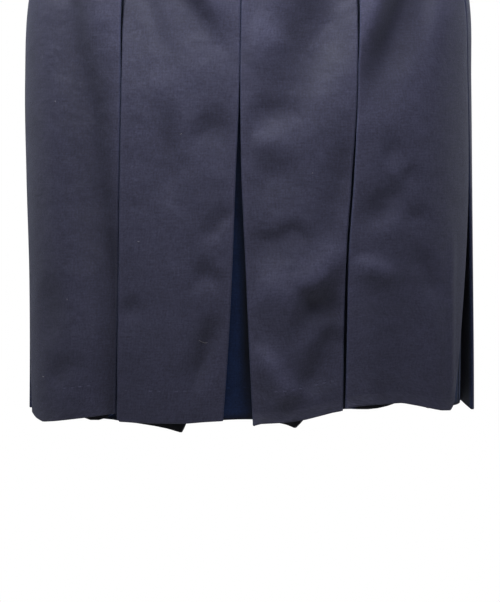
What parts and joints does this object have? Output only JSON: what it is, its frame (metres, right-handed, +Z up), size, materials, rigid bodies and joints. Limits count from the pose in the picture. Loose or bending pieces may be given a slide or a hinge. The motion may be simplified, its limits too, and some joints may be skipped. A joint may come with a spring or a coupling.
{
  "type": "pleated midi skirt",
  "caption": "Straight midi skirt in soft cloth, folded into inverted box pleats, with a narrow waistband and a side zip; hollow, in the form it has when worn.",
  "frame": {"origin": "middle of the waistband's top edge, where the wearer's waist holds the skirt", "axes": "+Z up, -Y out of the front, +X towards the wearer's left side"},
  "size_m": [0.4712, 0.2171, 0.6521],
  "materials": {
    "navy_wool": "soft brushed wool twill, matt with a slight nap",
    "navy_wool_back": "soft brushed wool twill, matt with a slight nap",
    "navy_wool_band": "soft brushed wool twill, doubled",
    "navy_zip_chain": "moulded coil, semi-matt",
    "dark_slider_metal": "dark lacquered metal",
    "dark_pull_metal": "dark lacquered metal"
  },
  "bodies": {
    "skirt": {"front": "navy_wool", "back": "navy_wool_back", "waistband": "navy_wool_band", "zip": "navy_zip_chain", "zip_slider": "dark_slider_metal"},
    "pull_tab": {"zip_pull": "dark_pull_metal"}
  },
  "joints": [
    {"name": "pull_tab_hinge", "type": "hinge", "parent": "skirt", "child": "pull_tab", "pos_m": [0.14116, -0.03492, -0.01027], "axis": [-0.4654, -0.8851, 0], "range_deg": [-3, 150]}
  ]
}
